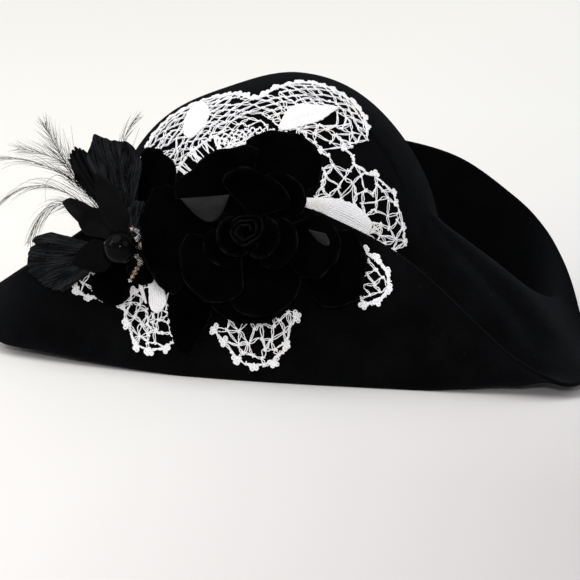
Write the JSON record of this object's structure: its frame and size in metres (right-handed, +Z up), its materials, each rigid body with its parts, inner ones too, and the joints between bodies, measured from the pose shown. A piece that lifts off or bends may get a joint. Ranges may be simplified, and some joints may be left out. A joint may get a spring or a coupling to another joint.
{
  "type": "wide-brim hat",
  "caption": "Wide-brim felt hat with its brim turned up at two sides, trimmed with a crocheted doily, a velvet rose, a smaller flower, beads and feathers.",
  "frame": {"origin": "on the floor, under the middle of the box round the whole hat", "axes": "+X along the brim's long way, to the wearer's side where the brim's end hangs low; -Y to the trimmed turned-up side; +Z up, out of the crown's top"},
  "size_m": [0.4192, 0.2466, 0.1667],
  "materials": {
    "felt": "matte felt",
    "lace": "matte crocheted cotton",
    "velvet": "velvet pile",
    "satin": "satin",
    "crinkled": "crinkled sheen",
    "feather": "soft barbs",
    "bead": "gloss",
    "crystal": "clear, faceted"
  },
  "bodies": {
    "root": {"felt_body": "felt", "lace_crown": "lace", "lace_flap": "lace", "rose_hub": "velvet", "rose_bud": "velvet", "rose_petal_back_top": "velvet", "rose_petal_back_left": "velvet", "rose_petal_back_right": "velvet", "rose_petal_back_low": "velvet", "rose_petal_mid_upper_left": "velvet", "rose_petal_mid_lower_left": "velvet", "rose_petal_mid_low": "velvet", "rose_petal_mid_right": "velvet", "rose_petal_mid_upper_right": "velvet", "rose_petal_inner_top": "velvet", "rose_petal_inner_left": "velvet", "rose_petal_inner_right": "velvet", "rose_petal_core_left": "velvet", "rose_petal_core_right": "velvet", "rose_fold_large": "satin", "rose_fold_small": "satin", "rose_leaf": "velvet", "flower_hub": "velvet", "flower_petal_back_dark": "satin", "flower_petal_top_small": "crinkled", "flower_petal_satin_left": "satin", "flower_petal_fan": "crinkled", "flower_petal_low": "velvet", "flower_petal_low_right": "velvet", "flower_petal_right": "velvet", "flower_petal_top": "crinkled", "flower_petal_rim": "satin", "flower_petal_satin_low": "satin", "flower_petal_leaf": "satin", "flower_petal_small": "crinkled", "flower_bead": "bead", "stamen_1": "crystal", "stamen_2": "crystal", "stamen_3": "crystal", "feather_up_right": "feather", "feather_up": "feather", "feather_up_left": "feather", "feather_left_thin": "feather", "feather_left": "feather", "feather_left_low": "feather"}
  },
  "joints": []
}
